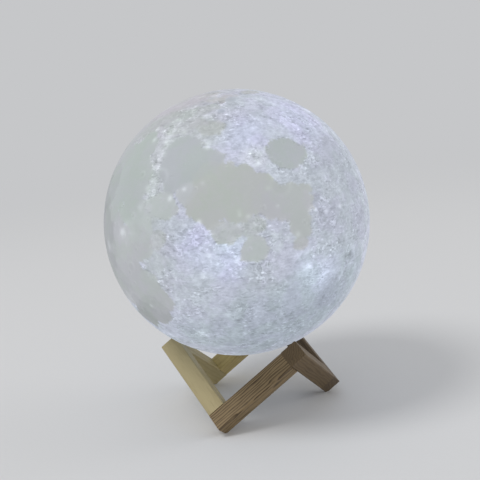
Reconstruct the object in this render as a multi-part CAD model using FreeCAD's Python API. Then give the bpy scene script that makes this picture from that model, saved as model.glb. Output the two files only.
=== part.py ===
"""Moon lamp: a hollow moon, lit from inside, that rests in a zigzag stand of six wooden bars.

The stand is half of the edges of a cube that balances on one corner: six equal square bars that meet
at right angles, three corners down as feet and three corners up that carry the globe.  At every corner
one bar runs through and the next one butts against its side, on a dowel.
The globe is one thin shell with a flat opening underneath.  A collar glued into that opening holds the
light module on a bayonet: cover, touch ring, charging jack, board, cell, tower, LEDs and dome.

Millimetres, +Z up.  The origin is on the floor, on the globe's vertical axis.  One foot points to -Y.
"""
import FreeCAD
import Part
import math
import os

Vector = FreeCAD.Vector

# ---------------------------------------------------------------- stand
BAR_WIDTH = 10.5             # square section of every bar
BAR_LENGTH = 52.5            # cut length of every bar
BAR_CHAMFER = 0.5            # eased long edges
FOOT_TRIM = 1.0              # height planed off the three corners that meet the floor
DOWEL_DIAMETER = 4.0
DOWEL_LENGTH = 15.0
DOWEL_SIDE_DEPTH = 6.5       # depth of the hole in the side of the bar that runs through
DOWEL_GLUE_GAP = 0.05        # round the dowel
DOWEL_END_GAP = 0.5          # glue space at each end of the dowel
DOWEL_CHAMFER = 0.4

# ---------------------------------------------------------------- globe
GLOBE_RADIUS = 75.0
SHELL_WALL = 1.6
SEAT_GAP = 0.3               # between the globe and the three upper corners of the stand
OPENING_RADIUS = 20.0
OPENING_RIM = 1.5            # width of the flat ring round the opening, underneath
NECK_WALL = 3.5              # thickened edge of the opening, inside the globe
NECK_HEIGHT = 5.0

# ---------------------------------------------------------------- collar and bayonet
COLLAR_GLUE_GAP = 0.1
COLLAR_WALL = 1.5
COLLAR_LIP_WIDTH = 2.4       # lies on the neck
COLLAR_LIP_THICKNESS = 1.2
COLLAR_RIM = 0.8             # the collar reaches this far above the lugs
LEDGE_DEPTH = 1.2            # how far the bayonet ledges stand in
LEDGE_THICKNESS = 2.4
LEDGE_SPAN = 75.0            # degrees, each of three
LUG_SPAN = 34.0              # degrees, each of three
LUG_THICKNESS = 1.8
STOP_SPAN = 4.0              # degrees, the rib that ends the turn at the locked side
STOP_SLACK = 1.0             # degrees between a locked lug and its rib
BAYONET_COUNT = 3
FIT_GAP = 0.3                # running clearance of the bayonet, all round

# ---------------------------------------------------------------- base cover
COVER_THICKNESS = 2.4
COVER_EDGE = 0.5             # bevel round the outside of the cover
SPIGOT_WALL = 1.3
SPIGOT_HEIGHT = 2.5
SPIGOT_FIT = 0.1
GRIP_LENGTH = 6.0            # the two fingertip slots that turn the module
GRIP_WIDTH = 2.0
GRIP_DEPTH = 1.2
GRIP_EDGE = 1.0              # plastic left outside each slot
TOUCH_RING_WIDTH = 3.0
TOUCH_RING_THICKNESS = 0.8
TOUCH_RING_EDGE = 1.3        # plastic between the ring and the cover screws' heads
TOUCH_RING_FIT = 0.05
SCREW_DIAMETER = 2.0
SCREW_HEAD_DIAMETER = 3.4
SCREW_HEAD_HEIGHT = 1.1
SCREW_RECESS = 1.3           # depth of the counterbore for a cover screw
SCREW_FIT = 0.1
COVER_SCREW_LENGTH = 6.0     # below the head
COVER_SCREW_COUNT = 3
COVER_BOSS_RADIUS = 2.2
PILOT_SPARE = 0.5            # every pilot hole is this much deeper than its screw
BOSS_FLOOR = 0.8             # plastic left at the blind end of a pilot hole
BOSS_CLEARANCE = 0.3

# ---------------------------------------------------------------- jack, light pipe, touch contact
JACK_NOSE_RADIUS = 3.4
JACK_BORE_RADIUS = 1.8
JACK_PIN_RADIUS = 0.65
JACK_BORE_DEPTH = 6.0
JACK_FIT = 0.1
JACK_INSET = 0.2             # the nose lies this far inside the cover's face
PIPE_RADIUS = 1.0
PIPE_FIT = 0.05
PIPE_HEAD_RADIUS = 1.3
PIPE_HEAD_HEIGHT = 1.0
INDICATOR_LENGTH, INDICATOR_WIDTH, INDICATOR_HEIGHT = 1.6, 0.8, 0.6
CONTACT_RADIUS = 0.9
CONTACT_FIT = 0.1
CONTACT_TIP_RADIUS = 0.5
CONTACT_TIP_LENGTH = 1.8

# ---------------------------------------------------------------- main board
BOARD_SIDE_GAP = 3.4         # between the board's edge and the tower's bore
BOARD_THICKNESS = 1.2
BOARD_STANDOFF = 7.4         # from the cover's inner face
POST_RADIUS = 1.9
POST_EDGE = 2.7              # from the board's edge to a post's axis
POST_COUNT = 3
BOARD_SCREW_LENGTH = 4.5
CHIP_LENGTH, CHIP_WIDTH, CHIP_HEIGHT = 4.9, 3.9, 1.5
CHIP_GAP = 1.3               # between the two chips
COIL_SIDE, COIL_HEIGHT = 4.0, 2.4
CAPACITOR_LENGTH, CAPACITOR_WIDTH, CAPACITOR_HEIGHT = 2.0, 1.25, 0.9
CAPACITOR_PITCH = 1.8
CAPACITOR_COUNT = 3
PART_GAP = 0.5               # between rows of parts on the board
PLUG_LENGTH, PLUG_WIDTH, PLUG_HEIGHT = 5.0, 4.0, 4.6
PLUG_GAP = 3.8               # between the two plugs
LEAD_DIAMETER = 1.0
LEAD_PITCH = 1.3
LEAD_CLEARANCE = 1.5         # from the cell pocket to the axis of the leads that pass it

# ---------------------------------------------------------------- cell
CELL_WIDTH = 24.0
CELL_THICKNESS = 6.0
CELL_HEIGHT = 35.0
CELL_ABOVE_PLUGS = 4.4
CELL_CORNER = 1.8
CELL_FIT = 0.15
PAD_THICKNESS = 1.0
PAD_MARGIN = 4.5             # the pad ends this far short of the cell's two ends
RIB_THICKNESS = 1.2
RIB_OVERLAP = 3.0            # how far each rib laps over the cell's face
SHELF_THICKNESS = 1.2
SHELF_OVERLAP = 2.2

# ---------------------------------------------------------------- tower, LED board, dome
TOWER_WALL = 1.5
TOWER_HEADROOM = 2.0         # between the cell and the deck
DECK_THICKNESS = 2.0
DOME_WALL = 1.2
DOME_FIT = 0.05
DOME_SKIRT = 4.0
DOME_WALL_HEIGHT = 4.0       # straight wall above the deck
LED_BOARD_INSET = 1.65       # of the LED board's edge from the tower's nose
LED_BOARD_THICKNESS = 1.6
LED_COUNT = 8
LED_EDGE = 3.2               # from the LED board's edge to the middle of an LED
LED_LENGTH, LED_WIDTH, LED_HEIGHT = 3.5, 2.8, 0.8
LED_SCREW_COUNT = 3
LED_SCREW_CIRCLE = 6.2
LED_SCREW_LENGTH = 4.0
LED_BOSS_RADIUS = 2.1
LEAD_HOLE_MARGIN = 0.25      # round the pair of leads that passes the deck
TERMINAL_LENGTH, TERMINAL_WIDTH, TERMINAL_HEIGHT = 3.6, 3.0, 2.6

# ---------------------------------------------------------------- places worked out from the sizes
CUBE_EDGE = BAR_LENGTH + BAR_WIDTH
FLOOR_RISE = BAR_LENGTH / math.sqrt(3) + FOOT_TRIM      # of the floor above the cube's balance corner


def globe_centre_height():
    """Where a globe on the cube's diagonal comes to the eased upper corners, less the seat gap."""
    # In the cube's axes the globe's centre is (s, s, s), and the corner that it meets is (a, a - c, w).
    a, c, w = CUBE_EDGE, BAR_CHAMFER, BAR_WIDTH
    total = a + (a - c) + w
    squares = a * a + (a - c) ** 2 + w * w - (GLOBE_RADIUS + SEAT_GAP) ** 2
    s = (total + math.sqrt(total * total - 3 * squares)) / 3
    return s * math.sqrt(3) - FLOOR_RISE


GLOBE_Z = globe_centre_height()
FLAT_RADIUS = OPENING_RADIUS + OPENING_RIM
BASE_Z = GLOBE_Z - math.sqrt(GLOBE_RADIUS ** 2 - FLAT_RADIUS ** 2)      # underside of the globe
NECK_TOP = BASE_Z + NECK_HEIGHT

COLLAR_RADIUS = OPENING_RADIUS - COLLAR_GLUE_GAP
COLLAR_BORE = COLLAR_RADIUS - COLLAR_WALL
LEDGE_RADIUS = COLLAR_BORE - LEDGE_DEPTH
COVER_RADIUS = COLLAR_BORE - FIT_GAP
COVER_TOP = BASE_Z + COVER_THICKNESS
LEDGE_Z = COVER_TOP + FIT_GAP
LEDGE_TOP = LEDGE_Z + LEDGE_THICKNESS
LUG_Z = LEDGE_TOP + FIT_GAP
LUG_TOP = LUG_Z + LUG_THICKNESS
COLLAR_TOP = LUG_TOP + COLLAR_RIM

TOWER_RADIUS = LEDGE_RADIUS - FIT_GAP
TOWER_BORE = TOWER_RADIUS - TOWER_WALL
PILOT_RADIUS = SCREW_DIAMETER / 2
SCREW_HOLE_RADIUS = PILOT_RADIUS + SCREW_FIT
COVER_SCREW_CIRCLE = TOWER_BORE - COVER_BOSS_RADIUS / 2
COVER_SCREW_SEAT = BASE_Z + SCREW_RECESS
COVER_PILOT_TOP = COVER_SCREW_SEAT + COVER_SCREW_LENGTH + PILOT_SPARE
TOUCH_RING_RADIUS = COVER_SCREW_CIRCLE - SCREW_HEAD_DIAMETER / 2 - TOUCH_RING_EDGE
TOUCH_RING_BORE = TOUCH_RING_RADIUS - TOUCH_RING_WIDTH
CONTACT_OFFSET = (TOUCH_RING_RADIUS + TOUCH_RING_BORE) / 2
PIPE_OFFSET = (JACK_NOSE_RADIUS + TOUCH_RING_BORE) / 2

BOARD_Z = COVER_TOP + BOARD_STANDOFF
BOARD_TOP = BOARD_Z + BOARD_THICKNESS
BOARD_RADIUS = TOWER_BORE - BOARD_SIDE_GAP
POST_CIRCLE = BOARD_RADIUS - POST_EDGE
POST_PILOT_LOW = BOARD_TOP - BOARD_SCREW_LENGTH - PILOT_SPARE
PLUG_TOP = BOARD_TOP + PLUG_HEIGHT
POCKET_HALF = (CELL_THICKNESS + PAD_THICKNESS) / 2      # the cell and its pad, either side of the axis
PLUG_X = (PLUG_GAP + PLUG_LENGTH) / 2
LEAD_Y = POCKET_HALF + LEAD_CLEARANCE
CAPACITOR_Y = LEAD_Y - (PLUG_WIDTH + CAPACITOR_LENGTH) / 2 - PART_GAP
CHIP_X = (CHIP_GAP + CHIP_WIDTH) / 2
CHIP_Y = CAPACITOR_Y - (CAPACITOR_LENGTH + CHIP_LENGTH) / 2 - PART_GAP
COIL_Y = CHIP_Y - (CHIP_LENGTH + COIL_SIDE) / 2 - PART_GAP

CELL_Z = PLUG_TOP + CELL_ABOVE_PLUGS
CELL_TOP = CELL_Z + CELL_HEIGHT
SHELF_Z = CELL_Z - SHELF_THICKNESS
DECK_Z = CELL_TOP + TOWER_HEADROOM
DECK_TOP = DECK_Z + DECK_THICKNESS
SKIRT_Z = DECK_TOP - DOME_SKIRT
NOSE_RADIUS = TOWER_RADIUS - DOME_WALL - DOME_FIT       # of the tower's top, inside the dome's skirt
NOSE_BORE = TOWER_BORE - DOME_WALL
LED_BOARD_TOP = DECK_TOP + LED_BOARD_THICKNESS
LED_BOARD_RADIUS = NOSE_RADIUS - LED_BOARD_INSET
LED_CIRCLE = LED_BOARD_RADIUS - LED_EDGE
LED_PILOT_LOW = LED_BOARD_TOP - LED_SCREW_LENGTH - PILOT_SPARE
LEAD_HOLE_RADIUS = (LEAD_PITCH + LEAD_DIAMETER) / 2 + LEAD_HOLE_MARGIN


# ---------------------------------------------------------------- helpers
def cylinder(radius, low, high, x=0.0, y=0.0):
    return Part.makeCylinder(radius, high - low, Vector(x, y, low))


def ring(inner, outer, low, high):
    return cylinder(outer, low, high).cut(cylinder(inner, low, high))


def ring_sector(inner, outer, low, high, middle, span):
    """The part of a ring that spans so many degrees about a middle direction."""
    wedge = Part.makeCylinder(outer, high - low, Vector(0, 0, low), Vector(0, 0, 1), span)
    return turned(wedge, middle - span / 2).cut(cylinder(inner, low, high))


def block(length, width, low, high, x=0.0, y=0.0):
    """A box centred on (x, y)."""
    return Part.makeBox(length, width, high - low, Vector(x - length / 2, y - width / 2, low))


def turned(shape, degrees):
    copy = shape.copy()
    copy.rotate(Vector(0, 0, 0), Vector(0, 0, 1), degrees)
    return copy


def around(shape, count, first=0.0):
    """Copies of a shape, spaced evenly about the vertical axis."""
    return [turned(shape, first + 360.0 * k / count) for k in range(count)]


def revolved(edges):
    """A solid turned about the vertical axis from a closed outline in the XZ plane."""
    face = Part.Face(Part.Wire(Part.__sortEdges__(edges)))
    return face.revolve(Vector(0, 0, 0), Vector(0, 0, 1), 360)


def outline(points):
    """Straight edges through (radius, height) points, closed."""
    corners = [Vector(r, 0, z) for r, z in points]
    return [Part.makeLine(p, q) for p, q in zip(corners, corners[1:] + corners[:1])]


def lead(points):
    """A round wire along straight runs, with an arc as large as the shorter run allows at each turn."""
    corners = [Vector(*p) for p in points]
    edges = []
    start = corners[0]
    for before, corner, after in zip(corners, corners[1:], corners[2:]):
        into = (corner - before).normalize()
        out = (after - corner).normalize()
        turn = math.acos(into.dot(out))
        back = 0.45 * min(before.distanceToPoint(corner), corner.distanceToPoint(after))
        radius = back / math.tan(turn / 2)
        first = corner - into * back
        last = corner + out * back
        middle = corner + (out - into).normalize() * (radius / math.cos(turn / 2) - radius)
        edges.append(Part.makeLine(start, first))
        edges.append(Part.Arc(first, middle, last).toShape())
        start = last
    edges.append(Part.makeLine(start, corners[-1]))
    section = Part.Wire(Part.makeCircle(LEAD_DIAMETER / 2, corners[0], corners[1] - corners[0]))
    return Part.Wire(edges).makePipeShell([section], True, False)


def lead_pair(x, route):
    """Two leads side by side; the route gives the (y, z) of each corner."""
    return [lead([(x + side * LEAD_PITCH / 2, y, z) for y, z in route]) for side in (-1, 1)]


def screw(seat, length, offset, head_up=False):
    """A pan-head self-tapping screw, its bearing face at the seat's height, its axis off to +X."""
    head = SCREW_HEAD_DIAMETER / 2
    top = -SCREW_HEAD_HEIGHT
    points = [(0, length), (PILOT_RADIUS * 0.3, length), (PILOT_RADIUS, length - PILOT_RADIUS),
              (PILOT_RADIUS, 0), (head, 0), (head, top * 0.55), (head * 0.7, top), (0, top)]
    whole = revolved(outline(points))
    if head_up:
        whole.rotate(Vector(0, 0, 0), Vector(1, 0, 0), 180)
    whole.translate(Vector(offset, 0, seat))
    return whole


# ---------------------------------------------------------------- stand
def cube_axis(k):
    """Edge k of the balanced cube: it leans out over foot k and rises at 35.26 degrees."""
    angle = math.radians(270 + 120 * k)
    flat = math.sqrt(2.0 / 3.0)
    return Vector(flat * math.cos(angle), flat * math.sin(angle), 1 / math.sqrt(3))


def bar_blank():
    """One bar along +X from its through end, with a dowel hole in its side and one in its far end."""
    w, c = BAR_WIDTH, BAR_CHAMFER
    section = [(c, 0), (w - c, 0), (w, c), (w, w - c), (w - c, w), (c, w), (0, w - c), (0, c)]
    corners = [Vector(0, y, z) for y, z in section]
    bar = Part.Face(Part.makePolygon(corners + corners[:1])).extrude(Vector(BAR_LENGTH, 0, 0))
    bore = DOWEL_DIAMETER / 2 + DOWEL_GLUE_GAP
    end_depth = DOWEL_LENGTH + 2 * DOWEL_END_GAP - DOWEL_SIDE_DEPTH
    side_hole = Part.makeCylinder(bore, DOWEL_SIDE_DEPTH, Vector(w / 2, w, w / 2), Vector(0, -1, 0))
    end_hole = Part.makeCylinder(bore, end_depth, Vector(BAR_LENGTH, w / 2, w / 2), Vector(-1, 0, 0))
    return bar.cut([side_hole, end_hole])


def dowel_blank():
    """The dowel in the side hole of a bar that starts at the origin."""
    start = BAR_WIDTH - DOWEL_SIDE_DEPTH + DOWEL_END_GAP
    pin = Part.makeCylinder(DOWEL_DIAMETER / 2, DOWEL_LENGTH, Vector(BAR_WIDTH / 2, start, BAR_WIDTH / 2),
                            Vector(0, 1, 0))
    rims = [edge for edge in pin.Edges if edge.Closed]
    return pin.makeChamfer(DOWEL_CHAMFER, rims)


def seated(shape, origin, along, beside):
    """A copy moved from its own axes to a corner of the cube, running along one cube direction."""
    third = along.cross(beside)
    place = FreeCAD.Matrix(along.x, beside.x, third.x, origin.x,
                           along.y, beside.y, third.y, origin.y,
                           along.z, beside.z, third.z, origin.z,
                           0, 0, 0, 1)
    copy = shape.copy()
    copy.transformShape(place, True)
    return copy


def stand_parts():
    """Six equal bars: three that run through at a foot, three that run through at an upper corner."""
    bar, dowel = bar_blank(), dowel_blank()
    floor = block(4 * CUBE_EDGE, 4 * CUBE_EDGE, -CUBE_EDGE, 0)
    drop = Vector(0, 0, -FLOOR_RISE)
    foot_names = ["stand_bar_front_right", "stand_bar_back_right", "stand_bar_left"]
    top_names = ["stand_bar_front_left", "stand_bar_right", "stand_bar_back_left"]
    parts, dowels = {}, []
    for k in range(3):
        e1, e2, e3 = cube_axis(k), cube_axis(k + 1), cube_axis(k + 2)
        foot = e1 * BAR_LENGTH + drop
        top = (e1 + e3) * CUBE_EDGE + drop
        parts[foot_names[k]] = seated(bar, foot, e2, e3).cut(floor)
        parts[top_names[k]] = seated(bar, top, e3 * -1, e1 * -1).cut(floor)
        dowels.append(seated(dowel, foot, e2, e3))
        dowels.append(seated(dowel, top, e3 * -1, e1 * -1))
    parts["stand_dowels"] = Part.makeCompound(dowels)
    return parts


# ---------------------------------------------------------------- globe
def sphere_arc(radius, low_radius):
    """A sphere's outline from the pole down to a given distance off the axis, below its middle."""
    def point(angle):
        return Vector(radius * math.cos(angle), 0, GLOBE_Z + radius * math.sin(angle))
    low = -math.acos(low_radius / radius)
    return Part.Arc(point(low), point((low + math.pi / 2) / 2), point(math.pi / 2)).toShape()


def moon_shell():
    """Thin sphere, cut flat underneath, with a thickened neck round the opening."""
    inner = GLOBE_RADIUS - SHELL_WALL
    neck = OPENING_RADIUS + NECK_WALL
    neck_foot = GLOBE_Z - math.sqrt(inner ** 2 - neck ** 2)
    corners = [Vector(neck, 0, neck_foot), Vector(neck, 0, NECK_TOP), Vector(OPENING_RADIUS, 0, NECK_TOP),
               Vector(OPENING_RADIUS, 0, BASE_Z), Vector(FLAT_RADIUS, 0, BASE_Z)]
    edges = [Part.makeLine(p, q) for p, q in zip(corners, corners[1:])]
    edges.append(sphere_arc(GLOBE_RADIUS, FLAT_RADIUS))
    edges.append(sphere_arc(inner, neck))
    edges.append(Part.makeLine(Vector(0, 0, GLOBE_Z + inner), Vector(0, 0, GLOBE_Z + GLOBE_RADIUS)))
    return revolved(edges)


def socket_collar():
    """Ring glued into the opening, with a lip on the neck and three bayonet ledges with stops."""
    tube = ring(COLLAR_BORE, COLLAR_RADIUS, BASE_Z, COLLAR_TOP)
    lip = ring(COLLAR_BORE, COLLAR_RADIUS + COLLAR_LIP_WIDTH, NECK_TOP, NECK_TOP + COLLAR_LIP_THICKNESS)
    root = COLLAR_BORE + COLLAR_WALL / 2
    ledge = ring_sector(LEDGE_RADIUS, root, LEDGE_Z, LEDGE_TOP, 0, LEDGE_SPAN)
    stop_middle = (LUG_SPAN + STOP_SPAN) / 2 + STOP_SLACK
    stop = ring_sector(LEDGE_RADIUS, root, LEDGE_Z, LUG_TOP, stop_middle, STOP_SPAN)
    return tube.fuse([lip] + around(ledge, BAYONET_COUNT) + around(stop, BAYONET_COUNT)).removeSplitter()


# ---------------------------------------------------------------- light module, below
def base_cover():
    """White disc that closes the opening: a groove for the touch ring, holes, posts and grip slots."""
    bevel = COVER_RADIUS - COVER_EDGE
    disc = revolved(outline([(0, BASE_Z), (bevel, BASE_Z), (COVER_RADIUS, BASE_Z + COVER_EDGE),
                             (COVER_RADIUS, COVER_TOP), (0, COVER_TOP)]))
    spigot_radius = TOWER_BORE - SPIGOT_FIT
    spigot = ring(spigot_radius - SPIGOT_WALL, spigot_radius, COVER_TOP, COVER_TOP + SPIGOT_HEIGHT)
    boss_gap = cylinder(COVER_BOSS_RADIUS + BOSS_CLEARANCE, COVER_TOP, COVER_TOP + SPIGOT_HEIGHT,
                        COVER_SCREW_CIRCLE)
    spigot = spigot.cut(around(boss_gap, COVER_SCREW_COUNT, 90))
    post = cylinder(POST_RADIUS, COVER_TOP, BOARD_Z, POST_CIRCLE)
    return disc.fuse([spigot] + around(post, POST_COUNT, 90)).cut(cover_openings())


def cover_openings():
    """What is cut from the cover: the ring's groove, the grip slots and every hole."""
    groove = ring(TOUCH_RING_BORE - TOUCH_RING_FIT, TOUCH_RING_RADIUS + TOUCH_RING_FIT,
                  BASE_Z, BASE_Z + TOUCH_RING_THICKNESS)
    grip = block(GRIP_WIDTH, GRIP_LENGTH, BASE_Z, BASE_Z + GRIP_DEPTH,
                 COVER_RADIUS - GRIP_EDGE - GRIP_WIDTH / 2)
    jack = cylinder(JACK_NOSE_RADIUS + JACK_FIT, BASE_Z, COVER_TOP)
    pipe = cylinder(PIPE_RADIUS + PIPE_FIT, BASE_Z, COVER_TOP, -PIPE_OFFSET)
    contact = cylinder(CONTACT_RADIUS + CONTACT_FIT, BASE_Z, COVER_TOP, 0, -CONTACT_OFFSET)
    pilot = cylinder(PILOT_RADIUS, POST_PILOT_LOW, BOARD_Z, POST_CIRCLE)
    screw_hole = cylinder(SCREW_HOLE_RADIUS, BASE_Z, COVER_TOP, COVER_SCREW_CIRCLE)
    recess = cylinder(SCREW_HEAD_DIAMETER / 2 + SCREW_FIT, BASE_Z, COVER_SCREW_SEAT, COVER_SCREW_CIRCLE)
    return ([groove, jack, pipe, contact] + around(grip, 2) + around(pilot, POST_COUNT, 90)
            + around(screw_hole, COVER_SCREW_COUNT, 90) + around(recess, COVER_SCREW_COUNT, 90))


def cover_screws():
    one = screw(COVER_SCREW_SEAT, COVER_SCREW_LENGTH, COVER_SCREW_CIRCLE)
    return Part.makeCompound(around(one, COVER_SCREW_COUNT, 90))


def touch_ring():
    """Flat metal ring, flush with the underside of the cover, that senses a fingertip."""
    return ring(TOUCH_RING_BORE, TOUCH_RING_RADIUS, BASE_Z, BASE_Z + TOUCH_RING_THICKNESS)


def touch_contact():
    """Spring pin that joins the touch ring to the board."""
    low = BASE_Z + TOUCH_RING_THICKNESS
    shoulder = low + CONTACT_TIP_LENGTH
    tip = cylinder(CONTACT_TIP_RADIUS, low, shoulder, 0, -CONTACT_OFFSET)
    return tip.fuse(cylinder(CONTACT_RADIUS, shoulder, BOARD_Z, 0, -CONTACT_OFFSET))


def charging_jack():
    """Round power jack: a nose in the cover, a square body under the board, a bore with a centre pin."""
    low = BASE_Z + JACK_INSET
    nose = cylinder(JACK_NOSE_RADIUS, low, COVER_TOP)
    body = block(2 * JACK_NOSE_RADIUS, 2 * JACK_NOSE_RADIUS, COVER_TOP, BOARD_Z)
    return nose.fuse(body).cut(ring(JACK_PIN_RADIUS, JACK_BORE_RADIUS, low, low + JACK_BORE_DEPTH))


def charge_light_pipe():
    """Clear rod that carries the charging light from the board to the cover's face."""
    rod = cylinder(PIPE_RADIUS, BASE_Z, BOARD_Z - INDICATOR_HEIGHT, -PIPE_OFFSET)
    return rod.fuse(cylinder(PIPE_HEAD_RADIUS, COVER_TOP, COVER_TOP + PIPE_HEAD_HEIGHT, -PIPE_OFFSET))


def charge_indicator():
    """Small LED under the board, over the light pipe."""
    return block(INDICATOR_LENGTH, INDICATOR_WIDTH, BOARD_Z - INDICATOR_HEIGHT, BOARD_Z, -PIPE_OFFSET)


# ---------------------------------------------------------------- light module, board and cell
def main_board():
    board = cylinder(BOARD_RADIUS, BOARD_Z, BOARD_TOP)
    return board.cut(around(cylinder(SCREW_HOLE_RADIUS, BOARD_Z, BOARD_TOP, POST_CIRCLE), POST_COUNT, 90))


def board_screws():
    one = screw(BOARD_TOP, BOARD_SCREW_LENGTH, POST_CIRCLE, head_up=True)
    return Part.makeCompound(around(one, POST_COUNT, 90))


def chip(side):
    return block(CHIP_WIDTH, CHIP_LENGTH, BOARD_TOP, BOARD_TOP + CHIP_HEIGHT, side * CHIP_X, CHIP_Y)


def power_coil():
    return block(COIL_SIDE, COIL_SIDE, BOARD_TOP, BOARD_TOP + COIL_HEIGHT, 0, COIL_Y)


def capacitors():
    """A row of small capacitors, centred on the board."""
    first = -(CAPACITOR_COUNT - 1) / 2 * CAPACITOR_PITCH
    top = BOARD_TOP + CAPACITOR_HEIGHT
    return Part.makeCompound([block(CAPACITOR_WIDTH, CAPACITOR_LENGTH, BOARD_TOP, top,
                                    first + k * CAPACITOR_PITCH, CAPACITOR_Y)
                              for k in range(CAPACITOR_COUNT)])


def wire_plug(side):
    """Two-part plug that stands on the board."""
    return block(PLUG_LENGTH, PLUG_WIDTH, BOARD_TOP, PLUG_TOP, side * PLUG_X, LEAD_Y)


def battery_cell():
    """Flat pouch cell on edge, with rounded long corners."""
    body = Part.makeBox(CELL_WIDTH, CELL_THICKNESS, CELL_HEIGHT,
                        Vector(-CELL_WIDTH / 2, -POCKET_HALF, CELL_Z))
    upright = [edge for edge in body.Edges if abs(edge.tangentAt(edge.FirstParameter).z) > 0.5]
    return body.makeFillet(CELL_CORNER, upright)


def battery_pad():
    """Foam tape between the cell and the ribs in front of it."""
    width = CELL_WIDTH - 2 * CELL_CORNER
    return Part.makeBox(width, PAD_THICKNESS, CELL_HEIGHT - 2 * PAD_MARGIN,
                        Vector(-width / 2, POCKET_HALF - PAD_THICKNESS, CELL_Z + PAD_MARGIN))


def battery_leads():
    """Two wires from the cell's lower edge to its plug on the board."""
    middle_z = (PLUG_TOP + CELL_Z) / 2
    return Part.makeCompound(lead_pair(-PLUG_X, [(0, CELL_Z), (0, middle_z), (LEAD_Y, middle_z),
                                                 (LEAD_Y, PLUG_TOP)]))


def led_leads():
    """Two wires straight up past the cell, through the deck, into the terminal on the LED board."""
    return Part.makeCompound(lead_pair(PLUG_X, [(LEAD_Y, PLUG_TOP), (LEAD_Y, LED_BOARD_TOP)]))


# ---------------------------------------------------------------- light module, tower and light
def lamp_tower():
    """Upright tube with bayonet lugs below, a pocket for the cell and a deck for the LED board."""
    tube = ring(TOWER_BORE, TOWER_RADIUS, COVER_TOP, SKIRT_Z)
    nose = ring(NOSE_BORE, NOSE_RADIUS, SKIRT_Z - TOWER_WALL, DECK_TOP)
    deck = cylinder(TOWER_BORE, DECK_Z, DECK_TOP)
    lug = ring_sector(TOWER_RADIUS - TOWER_WALL / 2, COLLAR_BORE - FIT_GAP, LUG_Z, LUG_TOP, 0, LUG_SPAN)
    boss = cylinder(COVER_BOSS_RADIUS, COVER_TOP, COVER_PILOT_TOP + BOSS_FLOOR, COVER_SCREW_CIRCLE)
    led_boss = cylinder(LED_BOSS_RADIUS, LED_PILOT_LOW, DECK_TOP, LED_SCREW_CIRCLE)
    tower = tube.fuse([nose, deck] + around(lug, BAYONET_COUNT) + around(boss, COVER_SCREW_COUNT, 90)
                      + around(led_boss, LED_SCREW_COUNT) + cell_pocket()).removeSplitter()
    cover_pilot = cylinder(PILOT_RADIUS, COVER_TOP, COVER_PILOT_TOP, COVER_SCREW_CIRCLE)
    led_pilot = cylinder(PILOT_RADIUS, LED_PILOT_LOW, DECK_TOP, LED_SCREW_CIRCLE)
    lead_hole = cylinder(LEAD_HOLE_RADIUS, DECK_Z, DECK_TOP, PLUG_X, LEAD_Y)
    return tower.cut([lead_hole] + around(cover_pilot, COVER_SCREW_COUNT, 90)
                     + around(led_pilot, LED_SCREW_COUNT))


def cell_pocket():
    """Four upright ribs and two shelves, on the tube's wall, that hold the cell and its pad."""
    inside = cylinder((TOWER_BORE + NOSE_RADIUS) / 2, SHELF_Z, DECK_Z)
    gap = POCKET_HALF + CELL_FIT
    rib_reach = CELL_WIDTH / 2 - RIB_OVERLAP
    shelf_reach = CELL_WIDTH / 2 - SHELF_OVERLAP
    front = Part.makeBox(TOWER_RADIUS - rib_reach, RIB_THICKNESS, DECK_Z - SHELF_Z,
                         Vector(rib_reach, gap, SHELF_Z))
    back = Part.makeBox(TOWER_RADIUS - rib_reach, RIB_THICKNESS, DECK_Z - SHELF_Z,
                        Vector(rib_reach, -gap - RIB_THICKNESS, SHELF_Z))
    shelf = Part.makeBox(TOWER_RADIUS - shelf_reach, 2 * gap, SHELF_THICKNESS,
                         Vector(shelf_reach, -gap, SHELF_Z))
    right_half = [piece.common(inside) for piece in (front, back, shelf)]
    return right_half + [turned(piece, 180) for piece in right_half]


def led_board():
    """Round aluminium board screwed to the deck."""
    board = cylinder(LED_BOARD_RADIUS, DECK_TOP, LED_BOARD_TOP)
    hole = cylinder(SCREW_HOLE_RADIUS, DECK_TOP, LED_BOARD_TOP, LED_SCREW_CIRCLE)
    lead_hole = cylinder(LEAD_HOLE_RADIUS, DECK_TOP, LED_BOARD_TOP, PLUG_X, LEAD_Y)
    return board.cut([lead_hole] + around(hole, LED_SCREW_COUNT))


def led_terminal():
    """Terminal over the hole in the LED board, where the two leads end."""
    return block(TERMINAL_LENGTH, TERMINAL_WIDTH, LED_BOARD_TOP, LED_BOARD_TOP + TERMINAL_HEIGHT,
                 PLUG_X, LEAD_Y)


def led_emitters():
    one = block(LED_WIDTH, LED_LENGTH, LED_BOARD_TOP, LED_BOARD_TOP + LED_HEIGHT, LED_CIRCLE)
    return Part.makeCompound(around(one, LED_COUNT, 180.0 / LED_COUNT))


def led_board_screws():
    one = screw(LED_BOARD_TOP, LED_SCREW_LENGTH, LED_SCREW_CIRCLE, head_up=True)
    return Part.makeCompound(around(one, LED_SCREW_COUNT))


def diffuser_dome():
    """Milky cap over the LEDs: a skirt that slips on the tower, a short wall and a half sphere."""
    outer, inner = TOWER_RADIUS, TOWER_RADIUS - DOME_WALL
    shoulder = DECK_TOP + DOME_WALL_HEIGHT
    edges = [quarter_arc(outer, shoulder), quarter_arc(inner, shoulder),
             Part.makeLine(Vector(outer, 0, SKIRT_Z), Vector(outer, 0, shoulder)),
             Part.makeLine(Vector(inner, 0, SKIRT_Z), Vector(inner, 0, shoulder)),
             Part.makeLine(Vector(inner, 0, SKIRT_Z), Vector(outer, 0, SKIRT_Z)),
             Part.makeLine(Vector(0, 0, shoulder + inner), Vector(0, 0, shoulder + outer))]
    return revolved(edges)


def quarter_arc(radius, centre_z):
    """A quarter circle about a point on the axis, from its level up to the top."""
    middle = Vector(radius * math.sqrt(0.5), 0, centre_z + radius * math.sqrt(0.5))
    return Part.Arc(Vector(radius, 0, centre_z), middle, Vector(0, 0, centre_z + radius)).toShape()


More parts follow.
